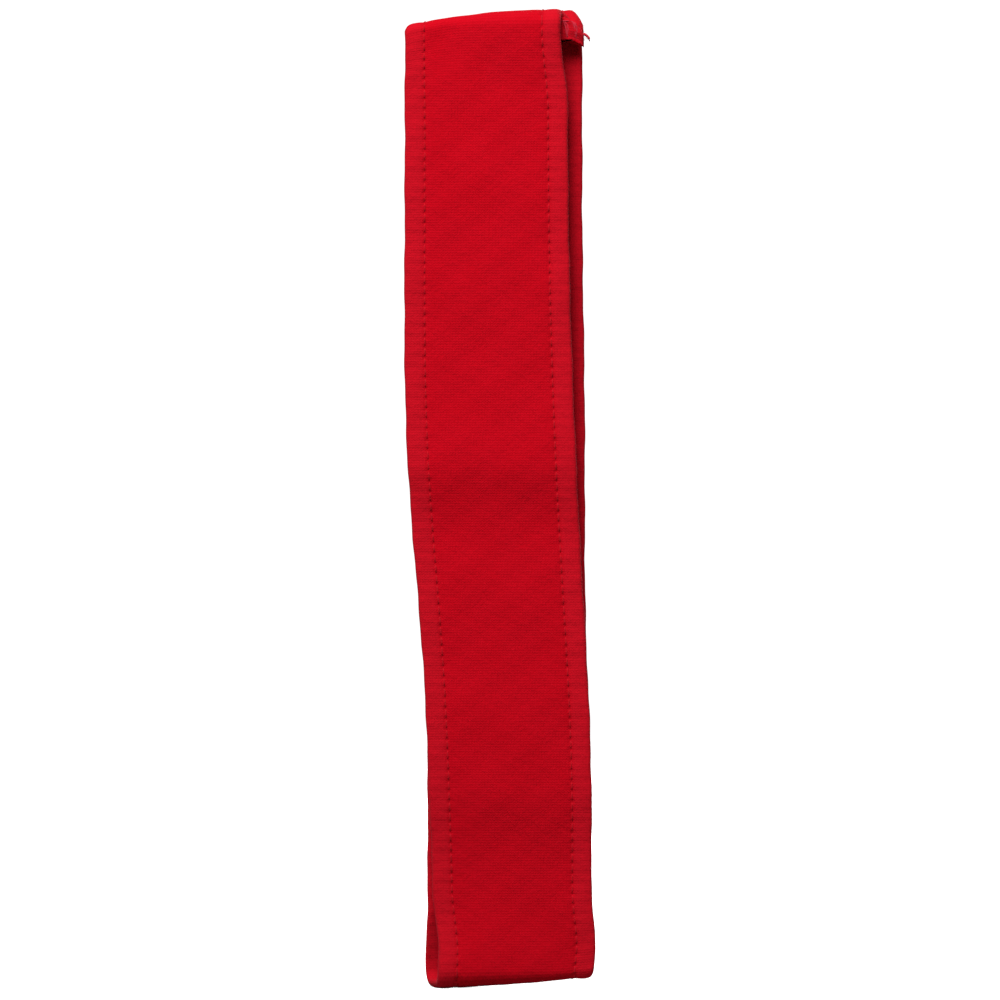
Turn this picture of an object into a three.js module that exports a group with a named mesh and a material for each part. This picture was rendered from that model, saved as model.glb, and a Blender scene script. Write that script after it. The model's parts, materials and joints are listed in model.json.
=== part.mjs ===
// A sports headband: one knit strip, hemmed along both long edges and sewn end to end into a loop.
// It is modelled laid flat, in millimetres. +Z runs along the flattened loop, +X across the band, and
// the front layer faces -Y. The origin is the centre of the flattened band.
// The strip is divided into short segments, so that hinges between them let the flat loop open to a ring.

import * as THREE from "three";

// The strip
const FLAT_LENGTH = 240;
const BAND_WIDTH = 40;
const KNIT_THICKNESS = 0.75;
const HEM_WIDTH = 6.5;
const HEM_THICKNESS = 1.7; // two layers of knit and the air between them
const FLAT_THICKNESS = 8.8; // both layers of the flattened loop and the space between them

// The two end folds of the flattened loop, where the front layer turns over into the back layer
const FOLD_RADIUS = 2.4;
const FOLD_SLANT = 0.09; // each fold line rises by this much per millimetre across the band
const SLANT_FULL_Y = 2.2; // all that lies this near the middle plane follows the slanted fold
const SLANT_NONE_Y = 2.4;

// The layers lie slightly askew: the front one wanders in an S, the back one leans
const FRONT_WANDER = 3.3;
const FRONT_WANDER_MIDDLE = -14;
const FRONT_WANDER_REACH = 55;
const BACK_LEAN = 0.75;

// Segments
const SEGMENTS = 9; // along each layer
const SEGMENT_GAP = 0.3;

// Hem stitching: one row per edge, with a needle thread outside and a looper thread inside
const STITCH_INSET = 4.9;
const THREAD_WIDTH = 0.5;
const THREAD_THICKNESS = 0.25;
const THREAD_GAP = 0.05;
const GROOVE_WIDTH = THREAD_WIDTH + 2 * THREAD_GAP;
const GROOVE_DEPTH = THREAD_THICKNESS + 2 * THREAD_GAP;

// Join seam: the strip's ends turn inwards, face to face, and an overlock stitch binds them
const SEAM_ALLOWANCE = 7.3;
const SEAM_HALF_GAP = 0.15;
const OVERLOCK_PITCH = 2.5;
const OVERLOCK_LENGTH = 35;
const OVERLOCK_LOW = 111.4;
const OVERLOCK_HIGH = 115.3;
const OVERLOCK_THREAD_RISE = 1; // height of a slanted thread, measured straight up
const OVERLOCK_FACE_MARGIN = 2.5; // the threads keep to the level of the hems this far beyond them
const SEAM_STEP_MARGIN = 1;
const SEAM_NEEDLE_Z = 116.3;

const HALF_WIDTH = BAND_WIDTH / 2;
const OUTER_Y = FLAT_THICKNESS / 2;
const FOLD_HINGE_Y = OUTER_Y - FOLD_RADIUS;
const FOLD_TOP = FLAT_LENGTH / 2 - FOLD_SLANT * HALF_WIDTH;
const FOLD_HINGE_Z = FOLD_TOP - FOLD_RADIUS;
const SEGMENT_PITCH = (2 * FOLD_HINGE_Z) / SEGMENTS;
const HEM_INNER_X = HALF_WIDTH - HEM_WIDTH;
const ROW_X = HALF_WIDTH - STITCH_INSET;
const CORNER_STEPS = 4;
const EDGE_STEPS = 6;

const { clamp, lerp } = THREE.MathUtils;

const knit = new THREE.MeshStandardMaterial({ color: 0xbe0a1b, roughness: 0.95, metalness: 0 });
const thread = new THREE.MeshStandardMaterial({ color: 0xc8142a, roughness: 0.6, metalness: 0 });

// How far each layer's centre line lies to the right at height z
function frontWander(z) {
  return -FRONT_WANDER * Math.tanh((z - FRONT_WANDER_MIDDLE) / FRONT_WANDER_REACH);
}

function backWander(z) {
  return BACK_LEAN * (1 - z / FOLD_HINGE_Z);
}

// A wander sampled where the segments meet, and straight between
function straightened(wander, z) {
  const place = (clamp(z, -FOLD_HINGE_Z, FOLD_HINGE_Z) + FOLD_HINGE_Z) / SEGMENT_PITCH;
  const segment = Math.min(Math.floor(place), SEGMENTS - 1);
  const low = segmentHeight(segment);
  return lerp(wander(low), wander(low + SEGMENT_PITCH), place - segment);
}

function segmentHeight(index) {
  return -FOLD_HINGE_Z + index * SEGMENT_PITCH;
}

// Moves a point of the straight, square loop to its place on the askew one
function lay(x, y, z) {
  const backShare = clamp((y / FOLD_HINGE_Y + 1) / 2, 0, 1);
  const shift = lerp(straightened(frontWander, z), straightened(backWander, z), backShare);
  const slantShare = clamp((SLANT_NONE_Y - Math.abs(y)) / (SLANT_NONE_Y - SLANT_FULL_Y), 0, 1);
  return [x + shift, y, z + FOLD_SLANT * x * slantShare];
}

function remap(geometry, place) {
  const position = geometry.getAttribute("position");
  for (let i = 0; i < position.count; i += 1) {
    position.setXYZ(i, ...place(position.getX(i), position.getY(i), position.getZ(i)));
  }
  geometry.computeVertexNormals();
  return geometry;
}

// Sweeps a profile, drawn as x across the band and y as depth below the outer face, through stations.
// A station is a point of the outer face and the direction in which depth grows there.
function sweep(profile, stations) {
  const spans = stations.length - 1;
  const geometry = new THREE.ExtrudeGeometry(profile, {
    depth: spans,
    steps: spans,
    bevelEnabled: false,
    curveSegments: EDGE_STEPS,
  });
  return remap(geometry, (x, depth, along) => {
    const at = stations[Math.round(along)];
    return lay(x, at.y + at.inY * depth, at.z + at.inZ * depth);
  });
}

// The strip's cross-section: flat outside, with a rolled hem along each edge and a groove for each
// needle thread
function stripProfile() {
  const edgeRadius = HEM_THICKNESS / 2;
  const edgeX = HALF_WIDTH - edgeRadius;
  const outline = new THREE.Shape();
  outline.moveTo(-edgeX, 0);
  for (const middle of [-ROW_X, ROW_X]) {
    outline.lineTo(middle - GROOVE_WIDTH / 2, 0);
    outline.lineTo(middle - GROOVE_WIDTH / 2, GROOVE_DEPTH);
    outline.lineTo(middle + GROOVE_WIDTH / 2, GROOVE_DEPTH);
    outline.lineTo(middle + GROOVE_WIDTH / 2, 0);
  }
  outline.lineTo(edgeX, 0);
  outline.absarc(edgeX, edgeRadius, edgeRadius, -Math.PI / 2, Math.PI / 2);
  outline.lineTo(HEM_INNER_X, HEM_THICKNESS);
  outline.lineTo(HEM_INNER_X, KNIT_THICKNESS);
  outline.lineTo(-HEM_INNER_X, KNIT_THICKNESS);
  outline.lineTo(-HEM_INNER_X, HEM_THICKNESS);
  outline.lineTo(-edgeX, HEM_THICKNESS);
  outline.absarc(-edgeX, edgeRadius, edgeRadius, Math.PI / 2, (3 * Math.PI) / 2);
  return outline;
}

// The cross-section of a thread of a hem row, with its near face at the given depth
function threadProfile(middle, depth) {
  const outline = new THREE.Shape();
  outline.moveTo(middle - THREAD_WIDTH / 2, depth);
  outline.lineTo(middle + THREAD_WIDTH / 2, depth);
  outline.lineTo(middle + THREAD_WIDTH / 2, depth + THREAD_THICKNESS);
  outline.lineTo(middle - THREAD_WIDTH / 2, depth + THREAD_THICKNESS);
  return outline;
}

function squareProfile(side) {
  const corners = [[0, 0], [side, 0], [side, side], [0, side]];
  return new THREE.Shape(corners.map(([x, y]) => new THREE.Vector2(x, y)));
}

// Stations on the front layer (side -1) run up, and on the back layer (side 1) down
function layerStation(side, z) {
  return { y: side * OUTER_Y, z, inY: -side, inZ: 0 };
}

// Stations on the top fold (end 1) run backwards, and on the bottom fold (end -1) forwards
function foldStation(end, y) {
  return { y, z: end * FOLD_TOP, inY: 0, inZ: -end };
}

// The rounded corner between one layer and one fold, in the direction that the loop runs
function cornerStations(side, end) {
  const stations = [];
  for (let step = 1; step < CORNER_STEPS; step += 1) {
    const turn = (step / CORNER_STEPS) * (Math.PI / 2);
    const outY = side * Math.cos(turn);
    const outZ = end * Math.sin(turn);
    stations.push({
      y: side * FOLD_HINGE_Y + FOLD_RADIUS * outY,
      z: end * FOLD_HINGE_Z + FOLD_RADIUS * outZ,
      inY: -outY,
      inZ: -outZ,
    });
  }
  return side === -end ? stations : stations.reverse();
}

function layerStations(side, shortfall) {
  const stations = [];
  for (let index = 0; index <= SEGMENTS; index += 1) {
    stations.push(layerStation(side, -side * segmentHeight(index)));
  }
  const free = side === 1 ? 0 : SEGMENTS;
  stations[free].z -= shortfall;
  return stations;
}

// Down the back layer, round the bottom fold and up the front layer
function hemRunStations(shortfall) {
  return [
    ...layerStations(1, shortfall),
    ...cornerStations(1, -1),
    foldStation(-1, FOLD_HINGE_Y),
    foldStation(-1, -FOLD_HINGE_Y),
    ...cornerStations(-1, -1),
    ...layerStations(-1, shortfall),
  ];
}

function layerSegment(side, index) {
  const low = segmentHeight(index) + SEGMENT_GAP / 2;
  const high = segmentHeight(index + 1) - SEGMENT_GAP / 2;
  const heights = side === -1 ? [low, high] : [high, low];
  return sweep(stripProfile(), heights.map((z) => layerStation(side, z)));
}

function bottomFold() {
  return sweep(stripProfile(), [foldStation(-1, FOLD_HINGE_Y), foldStation(-1, -FOLD_HINGE_Y)]);
}

// One end of the strip: it crosses half the top fold, turns down at the join and hangs inside
function stripEnd(side) {
  const stations = [
    foldStation(1, side * FOLD_HINGE_Y),
    { y: side * SEAM_HALF_GAP, z: FOLD_TOP, inY: side, inZ: -1 },
    { y: side * SEAM_HALF_GAP, z: FOLD_TOP - SEAM_ALLOWANCE, inY: side, inZ: 0 },
  ];
  return sweep(stripProfile(), side === -1 ? stations : stations.reverse());
}

// The visible row: it lies in the groove and its ends are caught in the join seam
function hemNeedleThread(middle) {
  const seamY = 2 * SEAM_HALF_GAP;
  return sweep(threadProfile(middle, THREAD_GAP), [
    foldStation(1, seamY),
    foldStation(1, FOLD_HINGE_Y),
    ...cornerStations(1, 1),
    ...hemRunStations(0),
    ...cornerStations(-1, 1),
    foldStation(1, -FOLD_HINGE_Y),
    foldStation(1, -seamY),
  ]);
}

// The hidden row, on the hem's inner face
function hemLooperThread(middle) {
  return sweep(threadProfile(middle, HEM_THICKNESS + THREAD_GAP), hemRunStations(SEGMENT_GAP));
}

// Places a point on the inner face of one strip end, following the step at each hem
function onSeamAllowance(side, x, z, rise) {
  const onHem = Math.abs(x) > HEM_INNER_X - OVERLOCK_FACE_MARGIN;
  const face = SEAM_HALF_GAP + (onHem ? HEM_THICKNESS : KNIT_THICKNESS);
  return lay(-side * x, side * (face + THREAD_GAP + rise), z);
}

function overlockLooperThread(side) {
  const corners = Math.round((2 * OVERLOCK_LENGTH) / OVERLOCK_PITCH) + 1;
  const middles = Array.from({ length: corners }, (_, i) => {
    const x = (i * OVERLOCK_PITCH - OVERLOCK_LENGTH) / 2;
    return new THREE.Vector2(x, i % 2 === 0 ? OVERLOCK_LOW : OVERLOCK_HIGH);
  });
  const rise = new THREE.Vector2(0, OVERLOCK_THREAD_RISE / 2);
  const below = middles.map((point) => point.clone().sub(rise));
  const above = middles.map((point) => point.clone().add(rise));
  const outline = new THREE.Shape([...below, ...above.reverse()]);
  const geometry = new THREE.ExtrudeGeometry(outline, { depth: THREAD_THICKNESS, bevelEnabled: false });
  return remap(geometry, (x, z, depth) => onSeamAllowance(side, x, z, depth));
}

// The straight line of stitches that closes the join, run from one edge of the band to the other
function seamNeedleThread(side) {
  const end = OVERLOCK_LENGTH / 2;
  const hem = HEM_INNER_X - SEAM_STEP_MARGIN;
  const stops = [-end, -hem, -OVERLOCK_PITCH, OVERLOCK_PITCH, hem, end];
  const spans = stops.length - 1;
  const outline = squareProfile(THREAD_THICKNESS);
  const geometry = new THREE.ExtrudeGeometry(outline, { depth: spans, steps: spans, bevelEnabled: false });
  return remap(geometry, (rise, drop, stop) => {
    return onSeamAllowance(side, stops[Math.round(stop)], SEAM_NEEDLE_Z - drop, rise);
  });
}

const headband = new THREE.Group();

function add(name, geometry, material) {
  const mesh = new THREE.Mesh(geometry, material);
  mesh.name = name;
  headband.add(mesh);
}

add("bottom_fold", bottomFold(), knit);
for (let index = 0; index < SEGMENTS; index += 1) {
  add(`front_segment_${index + 1}`, layerSegment(-1, index), knit);
  add(`back_segment_${index + 1}`, layerSegment(1, index), knit);
}
add("front_strip_end", stripEnd(-1), knit);
add("back_strip_end", stripEnd(1), knit);
for (const [name, middle] of [["left", -ROW_X], ["right", ROW_X]]) {
  add(`hem_needle_thread_${name}`, hemNeedleThread(middle), thread);
  add(`hem_looper_thread_${name}`, hemLooperThread(middle), thread);
}
add("seam_needle_thread", seamNeedleThread(-1), thread);
add("seam_upper_looper_thread", overlockLooperThread(-1), thread);
add("seam_lower_looper_thread", overlockLooperThread(1), thread);

export default headband;
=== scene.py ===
"""A red stretch-knit sports headband, hemmed and sewn into a loop, laid flat.

Lengths are in millimetres until a mesh is made, which is in metres."""
import json
import math

import bpy
import numpy as np
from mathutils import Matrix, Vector

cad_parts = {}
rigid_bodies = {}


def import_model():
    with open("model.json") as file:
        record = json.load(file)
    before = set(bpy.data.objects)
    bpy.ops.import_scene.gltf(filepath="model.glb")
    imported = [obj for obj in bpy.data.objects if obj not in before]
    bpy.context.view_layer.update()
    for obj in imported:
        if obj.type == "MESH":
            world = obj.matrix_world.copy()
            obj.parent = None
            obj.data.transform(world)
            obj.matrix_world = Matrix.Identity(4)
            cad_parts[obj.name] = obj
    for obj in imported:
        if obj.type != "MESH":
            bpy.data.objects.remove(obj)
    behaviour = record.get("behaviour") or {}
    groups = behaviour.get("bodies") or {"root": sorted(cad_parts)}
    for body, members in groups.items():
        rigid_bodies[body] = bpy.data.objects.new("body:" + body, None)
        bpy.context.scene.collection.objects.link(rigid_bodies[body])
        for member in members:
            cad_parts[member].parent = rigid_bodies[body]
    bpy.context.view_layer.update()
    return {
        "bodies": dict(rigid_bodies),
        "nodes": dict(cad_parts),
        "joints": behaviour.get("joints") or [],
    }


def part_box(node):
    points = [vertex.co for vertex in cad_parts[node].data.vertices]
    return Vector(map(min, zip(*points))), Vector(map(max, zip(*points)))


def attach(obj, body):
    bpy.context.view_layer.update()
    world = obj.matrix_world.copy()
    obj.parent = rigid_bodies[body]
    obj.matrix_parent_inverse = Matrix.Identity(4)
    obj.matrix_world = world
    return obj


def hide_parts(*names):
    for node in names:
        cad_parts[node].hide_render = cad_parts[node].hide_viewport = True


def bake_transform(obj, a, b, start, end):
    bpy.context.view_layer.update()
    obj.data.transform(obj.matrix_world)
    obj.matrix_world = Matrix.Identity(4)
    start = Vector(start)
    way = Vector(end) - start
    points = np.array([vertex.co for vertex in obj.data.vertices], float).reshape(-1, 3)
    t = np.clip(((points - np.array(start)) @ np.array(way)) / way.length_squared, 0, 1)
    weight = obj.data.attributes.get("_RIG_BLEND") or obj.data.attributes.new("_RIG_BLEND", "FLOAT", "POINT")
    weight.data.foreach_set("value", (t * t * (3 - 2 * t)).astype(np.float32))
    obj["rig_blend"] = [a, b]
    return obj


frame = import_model()

MM = 0.001
JOINTS = {joint["name"]: joint for joint in frame["joints"]}
SEGMENTS = sum(name.startswith("front_segment_") for name in frame["bodies"])


def box_mm(node):
    low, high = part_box(node)
    return np.array(low) / MM, np.array(high) / MM


# The CAD's own sizes
MIDDLE_LOW, MIDDLE_HIGH = box_mm(f"back_segment_{(SEGMENTS + 1) // 2}")
OUTER_Y = MIDDLE_HIGH[1]
HEM_THICKNESS = MIDDLE_HIGH[1] - MIDDLE_LOW[1]
FOLD_Y = -JOINTS["loop_opening"]["pos_m"][1] / MM
FOLD_Z = -JOINTS["loop_opening"]["pos_m"][2] / MM
FOLD_RADIUS = OUTER_Y - FOLD_Y
FOLD_TOP = FOLD_Z + FOLD_RADIUS
PITCH = 2 * FOLD_Z / SEGMENTS

# The strip
HALF_WIDTH = 20.0
KNIT = 0.75  # thickness of one layer
WALE = 0.72  # width of a column of knit stitches
COURSE = 0.62  # height of a row of knit stitches
HEM_WIDTH = 6.5
HEM_PUFF = 0.15  # the hem's inner face stands this far beyond the CAD's
EDGE_RADIUS = 0.95
CORNER_EASE = 0.15  # the strip lies this much lower over each hinge, where the opened ring turns a corner

# The lie of the flat loop
FOLD_SLANT = 0.1  # the folds rise by this much per millimetre across the band
BOTTOM_SLANT = 0.07
SLANT_REACH = 16.0  # the layers follow a fold's slant up to this far from it
CORNER_REACH = 1.6  # the folds are rounded off this far in from the strip's edges
SEAM_SHIFT = 0.6  # the join lies this far to the right of the middle
SEAM_REACH = 1.2  # the layers start to follow the join this far along the fold

# Hem stitching
ROW_X = 15.1  # the rows of stitches lie this far from the centre line
STITCH = 2.528
THREAD_RADIUS = 0.17

# Join seam
SEAM_ALLOWANCE = 7.3
SEAM_GAP = 0.05  # half the space between the two faces of the seam allowance
SEAM_PITCH = 2.2
LOOPER_RADIUS = 0.21
LUMP = 1.5
FIBRES = 70
SHOULDER_RADIUS = FOLD_Y - SEAM_GAP
ALLOWANCE_LOW = FOLD_TOP - SEAM_ALLOWANCE

# Colours, linear
KNIT_DARK, KNIT_LIGHT = (0.435, 0.0006, 0.0060), (0.545, 0.0014, 0.0098)
WORN_DARK, WORN_LIGHT = (0.475, 0.0014, 0.0088), (0.605, 0.0032, 0.0150)
# Painted highlight: a lighter, pinker red over the hems, standing in for light caught on their rounded rims
HEM_HIGHLIGHT_RED = (0.54, 0.0095, 0.0220)
# Painted shade: the dark red that each needle hole is darkened towards, standing in for the hole's own shadow
HOLE_SHADE_RED = (0.10, 0.0003, 0.0020)
SHEEN_TINT = (1.0, 0.45, 0.55, 1)
SEWING_DARK, SEWING_LIGHT = (0.38, 0.0010, 0.0070), (0.66, 0.0045, 0.0180)
WOOLLY_DARK, WOOLLY_LIGHT = (0.46, 0.0080, 0.0240), (0.74, 0.0600, 0.0950)

# Studio
FLOOR_DROP = FOLD_TOP + 2.0
FLOOR_SEEN, FLOOR_LIT = (0.93, 0.93, 0.93), (0.25, 0.25, 0.25)  # seen by the camera, and lighting the band
CAMERA_DISTANCE, FRAME_WIDTH = 2.0, 0.2454  # metres
CAMERA_AT = (0.0001, -CAMERA_DISTANCE, -0.0005)
KEY_LIGHT = ((-0.15, -0.58, 0.74), 0.4, 12)  # place and size in metres, then watts
BACK_LIGHT = ((0.5, 1.5, 0.6), 1.0, 24)

# Rows of the mesh for each segment of the CAD, even so that a piece can end half-way along a segment
ROWS_PER_SEGMENT = 60
ROW = PITCH / ROWS_PER_SEGMENT

# Lengths along half the loop, from the raw edge at the seam over the front to the middle of the bottom fold
ALLOWANCE = FOLD_TOP - SHOULDER_RADIUS - ALLOWANCE_LOW
SHOULDER = SHOULDER_RADIUS * math.pi / 2
CORNER = FOLD_RADIUS * math.pi / 2
TOP_FOLD = ALLOWANCE + SHOULDER
PANEL_TOP = TOP_FOLD + CORNER
PANEL_END = PANEL_TOP + 2 * FOLD_Z
BRIDGE = PANEL_END + CORNER
HALF_LOOP = BRIDGE + FOLD_Y
SEAM_HIGH = ALLOWANCE - 1.2  # the overlock stitch binds this much of the seam allowance


def smooth(t):
    """0 up to 0 and 1 from 1 on, smooth between."""
    t = np.clip(t, 0, 1)
    return t * t * (3 - 2 * t)


def bump(value, middle, reach):
    """A bell of height 1."""
    return np.exp(-(((value - middle) / reach) ** 2))


def front_wander(z):
    """How far the front layer's centre line lies to the right at height z: an S."""
    foot = 1.1 * smooth((-96 - z) / 14) - 0.3 * smooth((-110 - z) / 6)
    return -3.3 * np.tanh((z + 21) / 46) + foot - 0.8 * smooth((z - 95) / 20)


def back_wander(z):
    """How far the back layer's centre line lies to the right at height z: it leans."""
    lean = 0.65 * smooth((75 - z) / 60) + 1.25 * smooth((-15 - z) / 55)
    return 0.35 + lean - 0.4 * smooth((-98 - z) / 14)


def width_share(side, z):
    """The front layer is a little wide in its middle, and its edges curl in towards both ends."""
    if side > 0:
        return 1 + 0 * z
    ends = 0.03 * smooth((-60 - z) / 50) + 0.015 * smooth((-107 - z) / 9) + 0.045 * smooth((z - 95) / 20)
    return 1 + 0.035 * bump(z, 15, 42) - ends


def ridge(z, crest, below, above):
    """A wave of height 1 at its crest, with its own reach on either side of it."""
    return bump(z, crest, np.where(z < crest, below, above))


def swell(side, z):
    """How far a layer stands out from flat at height z, in shallow waves."""
    if side < 0:
        wave = 1.35 * ridge(z, 8.5, 7.5, 12) + 1.3 * ridge(z, -71, 9.5, 34) - 0.35 * bump(z, -8, 7)
    else:
        wave = 0.4 * bump(z, 48, 16) - 0.35 * bump(z, 6, 14) + 0.4 * bump(z, -52, 15)
    over_hinge = 0.5 + 0.5 * np.cos(2 * math.pi * (z + FOLD_Z) / PITCH)
    return (wave - CORNER_EASE * over_hinge) * smooth((FOLD_Z - np.abs(z)) / 14)


def softness(side, s, x):
    """Small uneven rises and falls of the knit."""
    return (
        0.07 * np.sin(0.21 * s + 0.33 * x + 1.3 * side)
        + 0.05 * np.sin(0.37 * s - 0.24 * x + 2.1)
        + 0.035 * np.sin(0.83 * s + 0.61 * x + 0.7 * side)
        + 0.02 * np.sin(1.7 * s - 0.9 * x)
    )


def path(s):
    """Point (y, z) and inward direction (y, z) of the outer face, for the front half of the loop."""
    s = np.asarray(s, float)
    along_shoulder = (s - ALLOWANCE) / SHOULDER_RADIUS
    along_top = (s - TOP_FOLD) / FOLD_RADIUS
    along_bottom = (s - PANEL_END) / FOLD_RADIUS
    zero, one = np.zeros_like(s), np.ones_like(s)
    parts = [
        (s < ALLOWANCE, -SEAM_GAP + zero, ALLOWANCE_LOW + s, one, zero),
        (
            s < TOP_FOLD,
            -FOLD_Y + SHOULDER_RADIUS * np.cos(along_shoulder),
            FOLD_TOP - SHOULDER_RADIUS + SHOULDER_RADIUS * np.sin(along_shoulder),
            np.cos(along_shoulder),
            np.sin(along_shoulder),
        ),
        (
            s < PANEL_TOP,
            -FOLD_Y - FOLD_RADIUS * np.sin(along_top),
            FOLD_Z + FOLD_RADIUS * np.cos(along_top),
            -np.sin(along_top),
            np.cos(along_top),
        ),
        (s < PANEL_END, -OUTER_Y + zero, FOLD_Z - (s - PANEL_TOP), -one, zero),
        (
            s < BRIDGE,
            -FOLD_Y - FOLD_RADIUS * np.cos(along_bottom),
            -FOLD_Z - FOLD_RADIUS * np.sin(along_bottom),
            -np.cos(along_bottom),
            -np.sin(along_bottom),
        ),
        (s >= BRIDGE, -FOLD_Y + (s - BRIDGE), -FOLD_TOP + zero, zero, -one),
    ]
    tests = [part[0] for part in parts]
    y, z, out_y, out_z = (np.select(tests, [part[k] for part in parts]) for k in (1, 2, 3, 4))
    return y, z, -out_y, -out_z


def rounding(x, reach):
    """0 up to reach from the strip's edge, and growing to 1 at the edge."""
    return np.clip((x - HALF_WIDTH + reach) / reach, 0, 1) ** 2


def top_rise(side, x):
    """How far the top fold stands above its level on the straight loop.

    It slants and bows up, and the back layer's right corner is drawn down."""
    bow = 0.715 - 0.0028 * x * x
    left = 0.5 * rounding(-x, CORNER_REACH)
    right = 0.4 * rounding(x, CORNER_REACH) if side < 0 else 3.4 * rounding(x, 2 * CORNER_REACH)
    return FOLD_SLANT * x + bow - left - right


def bottom_drop(x):
    """How far the bottom fold hangs below its level on the straight loop."""
    corner = 0.35 * rounding(np.abs(x), CORNER_REACH)
    return 0.98 - BOTTOM_SLANT * x - 0.0008 * x * x - corner


def positive_part(value):
    """The value where it is above 0 and 0 below, rounded off between."""
    return (value + np.sqrt(value * value + 0.1)) / 2


def place(side, s, x, depth):
    """Where a point of the strip lies.

    side is -1 on the front half of the loop and 1 on the back half. s runs along the half loop, x across the
    strip and depth into it from the outer face. All broadcast.

    A fold that reaches beyond its level is a rounder one about the same hinge, so that it opens without a
    ridge; one that falls short of it is set back."""
    s, x, depth = np.broadcast_arrays(np.asarray(s, float), np.asarray(x, float), np.asarray(depth, float))
    y, z, in_y, in_z = path(s)
    in_shoulder = (s > ALLOWANCE) & (s < TOP_FOLD)
    depth = np.where(in_shoulder, np.minimum(depth, SHOULDER_RADIUS - 0.08), depth)
    near_top = smooth((PANEL_TOP + SLANT_REACH - s) / SLANT_REACH)
    near_bottom = smooth((s - PANEL_END + SLANT_REACH) / SLANT_REACH)
    joined = (top_rise(-1, x) + top_rise(1, x)) / 2
    to_join = smooth((TOP_FOLD - s) / (TOP_FOLD - ALLOWANCE))
    rise = top_rise(side, x) * (1 - to_join) + joined * to_join
    drop = bottom_drop(x)
    high, low = positive_part(rise), positive_part(drop)
    proud = swell(side, z) * (np.abs(y) > FOLD_Y) + high * near_top * (s >= TOP_FOLD) + low * near_bottom
    y, z = y + in_y * (depth - proud), z + in_z * (depth - proud)
    z = z + high * (s < TOP_FOLD) + (rise - high) * near_top - (drop - low) * near_bottom
    flat_z = np.clip(z, -FOLD_Z, FOLD_Z)
    own = front_wander(flat_z) if side < 0 else back_wander(flat_z)
    share = width_share(side, flat_z)
    at_bottom = (front_wander(-FOLD_Z) + back_wander(-FOLD_Z)) / 2
    share_at_bottom = (width_share(-1, -FOLD_Z) + width_share(1, -FOLD_Z)) / 2
    to_seam = smooth((TOP_FOLD + SEAM_REACH - s) / (TOP_FOLD + SEAM_REACH - ALLOWANCE / 2))
    to_bottom = 2 * smooth((s - PANEL_END) / (2 * (HALF_LOOP - PANEL_END)))
    shift = own + (SEAM_SHIFT - own) * to_seam + (at_bottom - own) * to_bottom
    share = share + (1 - share) * to_seam + (share_at_bottom - share) * to_bottom
    y = y + side * lump(s, x)
    return np.stack([x * share + shift, -side * y, z], axis=-1)


def lump(s, x):
    """How far the right end of the seam allowance bulges to the front, where no front layer presses on it."""
    along = smooth((ALLOWANCE + 1.5 - s) / 3) * (0.35 + 0.65 * smooth(s / 2.5))
    return LUMP * smooth((x - 14.5) / 4) * along


def cross_section():
    """The closed outline of the hemmed strip, as columns of x, depth and face.

    face is 0 outside, 1 on the hem's inner face, 2 on its edges and 3 on the plain knit's inner face."""
    edge_x = HALF_WIDTH - EDGE_RADIUS
    row = [ROW_X + step for step in (-1.7, -1.1, -0.7, -0.4, -0.2, 0.0, 0.2, 0.4, 0.7, 1.1)]
    outside = [0, 2, 4, 6, 8, 10, 11.5, 12.6] + row + [16.8, 17.5, 18.2, 18.7]
    inside = [18.6, 17.8, 16.9] + row[:0:-1]
    middle = [12.9, 12.2, 11, 9, 6.5, 3.5]
    half = [(x, 0.0, 0) for x in outside]
    for step in range(9):
        turn = math.pi * (step / 8 - 0.5)
        half.append((edge_x + EDGE_RADIUS * math.cos(turn), EDGE_RADIUS * (1 + math.sin(turn)), 2))
    half += [(x, HEM_THICKNESS + HEM_PUFF, 1) for x in inside]
    half += [(13.32, 1.78, 2), (13.16, 1.45, 2), (13.14, 1.1, 2), (13.26, 0.84, 2)]
    half += [(x, KNIT, 3) for x in middle]
    mirrored = [(-x, depth, face) for x, depth, face in reversed(half[1:])]
    return np.array(half + [(0.0, KNIT, 3)] + mirrored)


COLUMNS = cross_section()
# Length round the strip's cross-section, from the middle of the outer face to each column and back again
STEPS = np.diff(COLUMNS[:, :2], axis=0, append=COLUMNS[:1, :2])
AROUND = np.concatenate([[0], np.cumsum(np.hypot(*STEPS.T))])


def hole_wave(s):
    """1 at each needle hole and 0 half-way between two."""
    return 0.5 + 0.5 * np.cos(2 * math.pi * s / STITCH)


def row_dip(s, x):
    """How deep the row of stitches draws the outer face in: a valley with a pit at each needle hole."""
    off = np.abs(x) - ROW_X
    valley = 0.13 * np.exp(-((off / 0.8) ** 2)) + 0.07 * np.exp(-((off / 2.2) ** 2))
    return valley + 0.24 * hole_wave(s) ** 2 * np.exp(-((off / 0.42) ** 2))


def strip_surface(side, s):
    """The strip's surface at each s, as rows x columns x 3."""
    x, depth, face = COLUMNS.T
    s = s[:, None]
    outer = face == 0
    dip = row_dip(s, x)
    depth = depth - softness(side, s, x) + np.where(outer, dip, 0) - np.where(face == 1, 0.8 * dip, 0)
    puff = 0.11 * np.exp(-(((np.abs(x) - 17.6) / 1.3) ** 2)) * (0.8 + 0.2 * np.sin(0.9 * s + side))
    depth = depth - np.where(outer, puff, 0)
    pucker = 0.03 * np.cos(2 * math.pi * s / STITCH) * smooth((np.abs(x) - 13) / 4)
    ragged = 0.08 * np.sin(0.29 * s + 0.8 * side) + 0.04 * np.sin(0.73 * s + 1)
    x = x + np.sign(x) * ragged * smooth((np.abs(x) - 12) / 7)
    return place(side, s, x, depth + pucker)


def tube_faces(rows, columns, start=0):
    """The numbers of a tube's points, as rows x columns, and the quads between them."""
    index = np.arange(rows * columns).reshape(rows, columns) + start
    here, there = index[:-1], index[1:]
    quads = np.stack([here, np.roll(here, -1, 1), np.roll(there, -1, 1), there], axis=-1)
    return index, quads.reshape(-1, 4)


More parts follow.
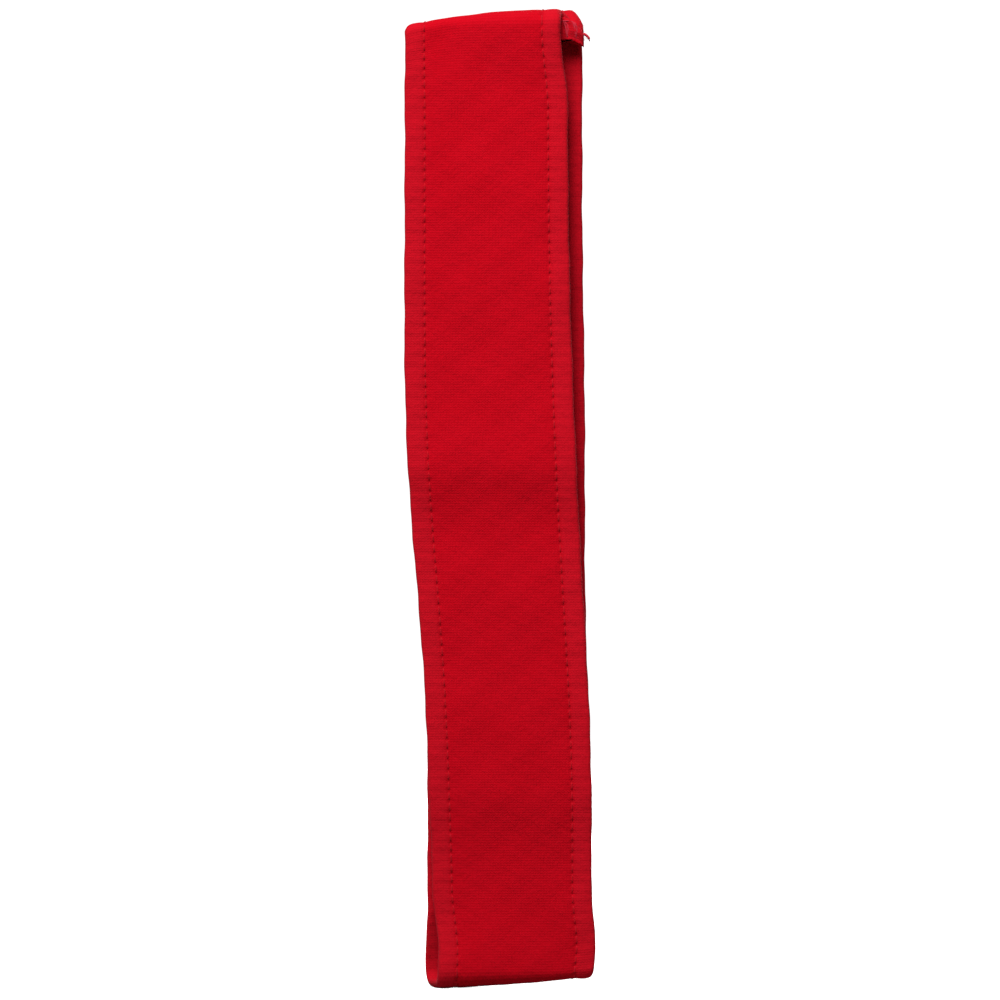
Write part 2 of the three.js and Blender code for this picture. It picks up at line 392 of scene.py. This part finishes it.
def grid_mesh(name, grid, uv):
    """A capped tube of quads from a rows x columns grid of points in millimetres, with UVs in millimetres."""
    rows, columns = grid.shape[:2]
    index, quads = tube_faces(rows, columns)
    corner_uv = uv_of_quads(uv, rows, columns)
    if outward_volume(grid, quads) < 0:
        quads = quads[:, ::-1]
        corner_uv = corner_uv[:, ::-1]
    ends = [index[0].tolist(), index[-1][::-1].tolist()]
    if quads[0][1] == index[0][1]:
        ends = [end[::-1] for end in ends]
    faces = quads.tolist() + ends
    mesh = bpy.data.meshes.new(name)
    mesh.from_pydata((grid.reshape(-1, 3) * MM).tolist(), [], faces)
    mesh.validate()
    layer = mesh.uv_layers.new(name="strip")
    flat = np.zeros((len(mesh.loops), 2), np.float32)
    count = len(quads) * 4
    flat[:count] = corner_uv.reshape(-1, 2)
    layer.data.foreach_set("uv", flat.ravel())
    mesh.polygons.foreach_set("use_smooth", [True] * len(mesh.polygons))
    mesh.update()
    return mesh


def uv_of_quads(uv, rows, columns):
    """UVs at each quad's four corners; the last column's quads run on past the start, with no jump back."""
    u = np.broadcast_to(uv[0][:, None], (rows, columns + 1))
    v = np.broadcast_to(uv[1][None, :], (rows, columns + 1))
    both = np.stack([u, v], axis=-1)
    corners = [both[:-1, :-1], both[:-1, 1:], both[1:, 1:], both[1:, :-1]]
    return np.stack(corners, axis=2).reshape(-1, 4, 2)


def outward_volume(grid, quads):
    """Above 0 if the quads face outwards."""
    points = grid.reshape(-1, 3)
    a, b, c, d = (points[quads[:, k]] for k in range(4))
    centre = points.mean(axis=0)
    return float(np.einsum("ij,ij->i", (a + c) / 2 - centre, np.cross(c - a, d - b)).sum())


def add_object(name, mesh, material):
    piece = bpy.data.objects.new(name, mesh)
    bpy.context.scene.collection.objects.link(piece)
    mesh.materials.append(material)
    return piece


# ---- Where each piece of the strip starts and ends, one piece for each joint that it bends over


def joint_spans():
    """(joint, side, start, end) for each joint, with start and end along the half loop."""
    spans = []
    for side, layer in ((-1, "front"), (1, "back")):
        fold = "loop_opening" if side < 0 else "back_fold_bend"
        names = [f"{layer}_seam_bend"]
        names += [f"{layer}_bend_{k}" for k in range(SEGMENTS - 1, 0, -1)]
        names += [fold]
        middles = [PANEL_TOP + (k + 0.5) * PITCH for k in range(SEGMENTS)]
        ends = [0.0] + middles + [HALF_LOOP]
        spans += [(JOINTS[name], side, ends[k], ends[k + 1]) for k, name in enumerate(names)]
    return spans


def rows_between(start, end):
    count = max(2, round((end - start) / ROW))
    return np.linspace(start, end, count + 1)


def fold_weights(s, at_top):
    """How far a point near an end fold turns with the fold's body, from its place on the strip."""
    corner = (PANEL_TOP - s) if at_top else (s - PANEL_END)
    ramp = np.clip((corner + 0.8) / (CORNER + 1.2), 0, 1)
    return 0.6 * ramp + 0.4 * smooth(ramp)


def bend(piece, joint, s):
    """Bends the piece over its joint; s says where along the half loop each of its points is."""
    parent, child = joint["parent"], joint["child"]
    centre = Vector(joint["pos_m"])
    reach = Vector((0, 0, PITCH / 2 * MM))
    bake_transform(piece, parent, child, centre - reach, centre + reach)
    if "bend_" in joint["name"]:
        return
    at_top = "strip_end" in child
    weights = fold_weights(s, at_top)
    if not at_top:
        weights = 1 - weights
    attribute = piece.data.attributes["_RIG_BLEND"]
    attribute.data.foreach_set("value", weights.astype(np.float32).ravel())


def nodes_near(joint):
    """The CAD nodes of the strip that a piece over this joint stands for."""
    return [body for body in (joint["parent"], joint["child"]) if body in frame["nodes"]]


def surface_normals(grid):
    """A normal at each point of the strip's surface, taken over the whole half loop so that pieces match."""
    along = np.gradient(grid, axis=0)
    across = np.roll(grid, -1, 1) - np.roll(grid, 1, 1)
    normals = np.cross(across, along)
    return normals / np.linalg.norm(normals, axis=2, keepdims=True)


def half_loop_rows(side):
    """Every row of one half of the loop, and where each of its pieces starts and ends among them."""
    rows, cuts = [], []
    for joint, _, start, end in [span for span in joint_spans() if span[1] == side]:
        piece_rows = rows_between(start, end)
        first = max(len(rows) - 1, 0)
        rows += piece_rows.tolist()[1 if rows else 0:]
        cuts.append((joint, first, len(rows)))
    return np.array(rows), cuts


def make_knit(material):
    for side in (-1, 1):
        s, cuts = half_loop_rows(side)
        surface = strip_surface(side, s)
        normals = surface_normals(surface) * side
        for joint, first, last in cuts:
            own = slice(first, last)
            mesh = grid_mesh(f"knit_{joint['name']}", surface[own], (s[own] * side, AROUND))
            mesh.normals_split_custom_set_from_vertices(normals[own].reshape(-1, 3).tolist())
            piece = add_object(mesh.name, mesh, material)
            bend(piece, joint, np.repeat(s[own], len(COLUMNS)))
            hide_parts(*nodes_near(joint))


# ---- Threads


def tube(points, normals, radius, sides=7):
    """Rings of points round a path, each ring square to it."""
    tangents = np.gradient(points, axis=0)
    tangents /= np.linalg.norm(tangents, axis=1, keepdims=True)
    across = np.cross(tangents, normals)
    across /= np.linalg.norm(across, axis=1, keepdims=True)
    up = np.cross(across, tangents)
    turn = np.linspace(0, 2 * math.pi, sides, endpoint=False)
    ring = across[:, None] * np.cos(turn)[:, None] + up[:, None] * np.sin(turn)[:, None]
    return points[:, None] + ring * radius


def needle_path(side, s, x):
    """The needle thread: it lies on the face between holes and dives into each hole."""
    depth = 0.15 - softness(side, s, x) + 0.75 * hole_wave(s) ** 3
    return place(side, s, x, depth)


def looper_path(side, s, x):
    """The looper thread: a chain of loops on the hem's inner face."""
    turn = 2 * math.pi * s / STITCH
    along = s + 0.62 * np.sin(2 * turn)
    aside = x + 0.42 * np.sin(turn)
    depth = HEM_THICKNESS - 0.02 - softness(side, s, x) + 0.13 * np.cos(2 * turn)
    return place(side, along, aside, depth)


def inward(side, s, x):
    return place(side, s, x, 0.6) - place(side, s, x, 0.2)


def thread_rings(path_of, side, s, x):
    points = path_of(side, s, x)
    return tube(points, inward(side, s, x), THREAD_RADIUS)


def join_grids(grids):
    """One list of points and faces from several capped tubes."""
    points, faces, uvs = [], [], []
    start = 0
    for grid in grids:
        rows, columns = grid.shape[:2]
        index, quads = tube_faces(rows, columns, start)
        faces += quads.tolist()
        faces += [index[0][::-1].tolist(), index[-1].tolist()]
        length = np.concatenate([[0], np.cumsum(np.linalg.norm(np.diff(grid.mean(axis=1), axis=0), axis=1))])
        uv = uv_of_quads((length, np.arange(columns + 1) / columns), rows, columns)
        uvs.append(uv.reshape(-1, 2))
        uvs.append(np.zeros((2 * columns, 2)))
        points.append(grid.reshape(-1, 3))
        start += rows * columns
    return np.concatenate(points), faces, np.concatenate(uvs)


def thread_mesh(name, grids):
    points, faces, uvs = join_grids(grids)
    mesh = bpy.data.meshes.new(name)
    mesh.from_pydata((points * MM).tolist(), [], faces)
    layer = mesh.uv_layers.new(name="strip")
    layer.data.foreach_set("uv", uvs.astype(np.float32).ravel())
    mesh.polygons.foreach_set("use_smooth", [True] * len(mesh.polygons))
    mesh.update()
    return mesh


def make_hem_threads(material):
    nodes = [name for name in frame["nodes"] if name.startswith("hem_")]
    for joint, side, start, end in joint_spans():
        grids, at_s = [], []
        for x in (-ROW_X, ROW_X):
            for path_of, first in ((needle_path, ALLOWANCE + 0.4), (looper_path, PANEL_TOP)):
                low = max(start, first)
                s = np.linspace(low, end, max(4, round((end - low) / (STITCH / 12))))
                grid = thread_rings(path_of, side, s, x)
                grids.append(grid)
                at_s.append(np.repeat(s, grid.shape[1]))
        name = f"hem_threads_{joint['name']}"
        piece = add_object(name, thread_mesh(name, grids), material)
        bend(piece, joint, np.concatenate(at_s))
        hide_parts(*nodes)


# ---- Join seam


def seam_face_depth(x):
    """Depth of a thread lying on the seam allowance's inner face, which steps up at each hem."""
    on_hem = smooth((np.abs(x) - (HALF_WIDTH - HEM_WIDTH) + 2.0) / 1.6)
    return KNIT + (HEM_THICKNESS - KNIT) * on_hem + 0.18


def seam_needle_path(x, phase):
    return place(-1, SEAM_HIGH + 0.3 + 0 * x, x, seam_face_depth(x) - 0.3 * (0.5 + 0.5 * np.cos(phase)) ** 3)


def seam_looper_path(side, x, phase):
    """Loops over one face of the seam allowance, from the line of stitches round the raw edge."""
    swing = 0.5 + 0.5 * np.sin(phase)
    s = -0.3 + (SEAM_HIGH + 0.4) * swing
    depth = seam_face_depth(x) * smooth(swing / 0.16) - 0.05
    return place(side, s, x + 0.35 * SEAM_PITCH * np.cos(phase), depth)


def tail_path(strand):
    """One of the threads that the overlock chain ends in: they leave the right end of the join, twisted."""
    t = np.linspace(0, 1, 40)
    start = place(-1, 1.9, HALF_WIDTH - 0.8, HEM_THICKNESS * 0.6)
    twist = 2 * math.pi * (2.1 * t + strand / 3)
    spread = 0.26 * (0.5 + t)
    line = np.stack([2.3 * t, -0.3 * np.sin(3 * t), 0.4 * np.sin(3.4 * t) - 0.9 * t * t], axis=-1)
    return start + line + np.stack([0 * t, spread * np.cos(twist), spread * np.sin(twist)], axis=-1)


def fibre_path(random):
    """One loose fibre of the raw edge near the right end of the join."""
    t = np.linspace(0, 1, 6)[:, None]
    x = HALF_WIDTH - 0.3 - 6.0 * random.random() ** 2
    start = place(-1, 5.0 * random.random(), x, HEM_THICKNESS * random.random())
    lean = random.normal(size=3) * np.array([0.5, 0.4, 0.5]) + np.array([0.35, -0.35, -0.15])
    curl = random.normal(size=3) * 0.45
    return start + lean * t + curl * t * t


def add_seam_piece(node, grids, material, body):
    """A thread of the join, in place of the CAD's, riding on one strip end."""
    name = node.replace("_thread", "_loops")
    piece = add_object(name, thread_mesh(name, grids), material)
    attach(piece, body)
    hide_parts(node)


def make_seam(material):
    ends = HALF_WIDTH - 0.8
    x = np.arange(-ends, ends, SEAM_PITCH / 12)
    phase = 2 * math.pi * x / SEAM_PITCH
    facing = np.array([[0.0, -1.0, 0.0]])
    needle = tube(seam_needle_path(x, phase), facing, THREAD_RADIUS)
    upper = tube(seam_looper_path(-1, x, phase), facing, LOOPER_RADIUS)
    lower = tube(seam_looper_path(1, x, phase), -facing, LOOPER_RADIUS)
    tails = [tube(tail_path(strand), facing, THREAD_RADIUS * 0.8) for strand in range(3)]
    random = np.random.RandomState(7)
    fibres = [tube(fibre_path(random), facing, 0.03, sides=3) for _ in range(FIBRES)]
    add_seam_piece("seam_needle_thread", [needle], material, "front_strip_end")
    add_seam_piece("seam_upper_looper_thread", [upper, *fibres], material, "front_strip_end")
    add_seam_piece("seam_lower_looper_thread", [lower, *tails], material, "back_strip_end")


# ---- Materials


def node_material(name):
    material = bpy.data.materials.new(name)
    material.use_nodes = True
    tree = material.node_tree
    return material, tree, tree.nodes["Principled BSDF"]


def math_node(tree, operation, a, b=None):
    node = tree.nodes.new("ShaderNodeMath")
    node.operation = operation
    for socket, value in zip(node.inputs, (a, b)):
        if value is None:
            continue
        if isinstance(value, (int, float)):
            socket.default_value = value
        else:
            tree.links.new(value, socket)
    return node.outputs[0]


def noise(tree, vector, scale, detail=2.0):
    node = tree.nodes.new("ShaderNodeTexNoise")
    node.inputs["Scale"].default_value = scale
    node.inputs["Detail"].default_value = detail
    tree.links.new(vector, node.inputs["Vector"])
    return node.outputs["Fac"]


def mix_colours(tree, share, a, b):
    node = tree.nodes.new("ShaderNodeMix")
    node.data_type = "RGBA"
    tree.links.new(share, node.inputs["Factor"])
    for socket, value in ((node.inputs[6], a), (node.inputs[7], b)):
        if isinstance(value, tuple):
            socket.default_value = (*value, 1)
        else:
            tree.links.new(value, socket)
    return node.outputs[2]


def ramp(tree, value, low, high):
    """0 where value is low and 1 where it is high, smooth between."""
    node = tree.nodes.new("ShaderNodeMapRange")
    node.interpolation_type = "SMOOTHSTEP"
    tree.links.new(value, node.inputs["Value"])
    node.inputs["From Min"].default_value = low
    node.inputs["From Max"].default_value = high
    return node.outputs["Result"]


def wave(tree, value, length):
    """A wave between 0 and 1, with a crest where value is 0."""
    turn = math_node(tree, "MULTIPLY", value, 2 * math.pi / length)
    return math_node(tree, "ADD", math_node(tree, "MULTIPLY", math_node(tree, "COSINE", turn), 0.5), 0.5)


def strip_coordinates(tree):
    """The vector of UVs in millimetres, and its parts along and round the strip."""
    uv = tree.nodes.new("ShaderNodeUVMap")
    uv.uv_map = "strip"
    split = tree.nodes.new("ShaderNodeSeparateXYZ")
    tree.links.new(uv.outputs[0], split.inputs[0])
    return uv.outputs[0], split.outputs["X"], split.outputs["Y"]


def knit_height(tree, u, v):
    """Height of a jersey knit: columns of V-shaped stitches."""
    column = math_node(tree, "FRACT", math_node(tree, "DIVIDE", v, WALE))
    from_middle = math_node(tree, "ABSOLUTE", math_node(tree, "SUBTRACT", column, 0.5))
    along = math_node(tree, "ADD", u, math_node(tree, "MULTIPLY", from_middle, 1.3 * COURSE))
    groove = math_node(tree, "SINE", math_node(tree, "MULTIPLY", from_middle, 2 * math.pi))
    return math_node(tree, "MULTIPLY", wave(tree, along, COURSE), groove)


# Painted shade: where the colour is darkened at each needle hole along the rows of stitches
def needle_hole_shade(tree, u, from_middle):
    off = math_node(tree, "ABSOLUTE", math_node(tree, "SUBTRACT", from_middle, ROW_X))
    near_row = math_node(tree, "SUBTRACT", 1.0, ramp(tree, off, 0.1, 0.7))
    return math_node(tree, "MULTIPLY", near_row, math_node(tree, "POWER", wave(tree, u, STITCH), 2.0))


def add_relief(tree, shader, height, strength, distance):
    relief = tree.nodes.new("ShaderNodeBump")
    relief.inputs["Strength"].default_value = strength
    relief.inputs["Distance"].default_value = distance
    tree.links.new(height, relief.inputs["Height"])
    tree.links.new(relief.outputs["Normal"], shader.inputs["Normal"])


def knit_material():
    """Fine red jersey: stitches, mottling, fuzz, a painted highlight that makes the hems a little lighter and
    pinker, and painted shade that darkens each needle hole.
    """
    material, tree, shader = node_material("red jersey knit")
    uv, u, v = strip_coordinates(tree)
    stitches = knit_height(tree, u, v)
    mottle = ramp(tree, noise(tree, uv, 1.1, 4.0), 0.32, 0.68)
    cloud = ramp(tree, noise(tree, uv, 0.10, 3.0), 0.3, 0.7)
    fuzz = noise(tree, uv, 7.0, 2.0)
    red = mix_colours(tree, stitches, KNIT_DARK, KNIT_LIGHT)
    worn = mix_colours(tree, stitches, WORN_DARK, WORN_LIGHT)
    wear = math_node(tree, "MULTIPLY", cloud, 0.26)
    share = math_node(tree, "ADD", math_node(tree, "MULTIPLY", mottle, 0.34), wear)
    face = mix_colours(tree, share, red, worn)
    middle = AROUND[-1] / 2
    from_middle = math_node(tree, "ABSOLUTE", math_node(tree, "SUBTRACT", v, middle))
    from_middle = math_node(tree, "SUBTRACT", middle, from_middle)
    # Painted highlight: the hems outside the rows of stitches are mixed towards a lighter, pinker red, as if
    # their rims caught the light
    hem = math_node(tree, "MULTIPLY", ramp(tree, from_middle, ROW_X - 0.5, ROW_X + 1.2), 0.3)
    hem_highlighted = mix_colours(tree, hem, face, HEM_HIGHLIGHT_RED)
    # Painted shade at the needle holes, made stronger in some places than others by noise
    plain = math_node(tree, "MULTIPLY", ramp(tree, noise(tree, uv, 0.13, 1.0), 0.35, 0.65), 0.22)
    hole_shade = math_node(tree, "MULTIPLY", needle_hole_shade(tree, u, from_middle), plain)
    colour = mix_colours(tree, hole_shade, hem_highlighted, HOLE_SHADE_RED)
    tree.links.new(colour, shader.inputs["Base Color"])
    shader.inputs["Roughness"].default_value = 0.95
    shader.inputs["Specular IOR Level"].default_value = 0.05
    shader.inputs["Sheen Weight"].default_value = 0.06
    shader.inputs["Sheen Roughness"].default_value = 0.4
    shader.inputs["Sheen Tint"].default_value = SHEEN_TINT
    lint = math_node(tree, "MULTIPLY", fuzz, 0.7)
    rough = math_node(tree, "ADD", math_node(tree, "MULTIPLY", mottle, 0.8), lint)
    add_relief(tree, shader, math_node(tree, "ADD", stitches, rough), 0.36, 0.0003)
    return material


def thread_material(name, dark, light):
    """Thread with a twist."""
    material, tree, shader = node_material(name)
    uv, u, v = strip_coordinates(tree)
    ply = wave(tree, math_node(tree, "ADD", math_node(tree, "DIVIDE", u, 0.55), v), 0.5)
    tone = math_node(tree, "MULTIPLY", ply, noise(tree, uv, 0.8, 2.0))
    colour = mix_colours(tree, tone, dark, light)
    tree.links.new(colour, shader.inputs["Base Color"])
    shader.inputs["Roughness"].default_value = 0.75
    shader.inputs["Specular IOR Level"].default_value = 0.08
    shader.inputs["Sheen Weight"].default_value = 0.05
    add_relief(tree, shader, ply, 0.4, 0.0001)
    return material


# ---- Studio


def make_stage():
    """A pale floor that sweeps up into a backdrop far behind, and throws little light back on the band."""
    low = -FLOOR_DROP * MM
    reach, turn = 3.0, 1.2
    profile = [(-reach, low), (reach - turn, low)]
    profile += [
        (reach - turn + turn * math.sin(k * math.pi / 24), low + turn - turn * math.cos(k * math.pi / 24))
        for k in range(1, 13)
    ]
    profile += [(reach, low + 2 * reach)]
    points = [(x, y, z) for y, z in profile for x in (-2 * reach, 2 * reach)]
    faces = [(2 * k, 2 * k + 1, 2 * k + 3, 2 * k + 2) for k in range(len(profile) - 1)]
    mesh = bpy.data.meshes.new("floor")
    mesh.from_pydata(points, [], faces)
    mesh.polygons.foreach_set("use_smooth", [True] * len(faces))
    material, tree, shader = node_material("pale floor")
    shader.inputs["Roughness"].default_value = 0.9
    seen = tree.nodes.new("ShaderNodeLightPath").outputs["Is Camera Ray"]
    grey = mix_colours(tree, seen, FLOOR_LIT, FLOOR_SEEN)
    tree.links.new(grey, shader.inputs["Base Color"])
    tree.links.new(math_node(tree, "MULTIPLY", seen, 0.9), shader.inputs["Emission Strength"])
    shader.inputs["Emission Color"].default_value = (1, 1, 1, 1)
    add_object("floor", mesh, material)


def add_area_light(name, place_at, size, watts):
    light = bpy.data.lights.new(name, "AREA")
    light.size = size
    light.energy = watts
    lamp = bpy.data.objects.new(name, light)
    lamp.location = place_at
    lamp.rotation_euler = (-Vector(place_at)).to_track_quat("-Z", "Y").to_euler()
    bpy.context.scene.collection.objects.link(lamp)


def make_light():
    world = bpy.data.worlds.new("studio")
    world.use_nodes = True
    background = world.node_tree.nodes["Background"]
    background.inputs["Color"].default_value = (1, 1, 1, 1)
    seen = world.node_tree.nodes.new("ShaderNodeLightPath").outputs["Is Camera Ray"]
    tree = world.node_tree
    strength = math_node(tree, "ADD", math_node(tree, "MULTIPLY", seen, 0.8), 0.2)
    tree.links.new(strength, background.inputs["Strength"])
    bpy.context.scene.world = world
    add_area_light("key", *KEY_LIGHT)
    add_area_light("back", *BACK_LIGHT)
    bpy.context.scene.view_settings.view_transform = "Standard"


def make_camera():
    camera = bpy.data.cameras.new("camera")
    camera.sensor_width = 36
    camera.lens = camera.sensor_width * CAMERA_DISTANCE / FRAME_WIDTH
    holder = bpy.data.objects.new("camera", camera)
    holder.location = CAMERA_AT
    holder.rotation_euler = (math.pi / 2, 0, 0)
    bpy.context.scene.collection.objects.link(holder)
    bpy.context.scene.camera = holder


make_knit(knit_material())
make_hem_threads(thread_material("red sewing thread", SEWING_DARK, SEWING_LIGHT))
make_seam(thread_material("woolly overlock thread", WOOLLY_DARK, WOOLLY_LIGHT))
make_stage()
make_light()
make_camera()
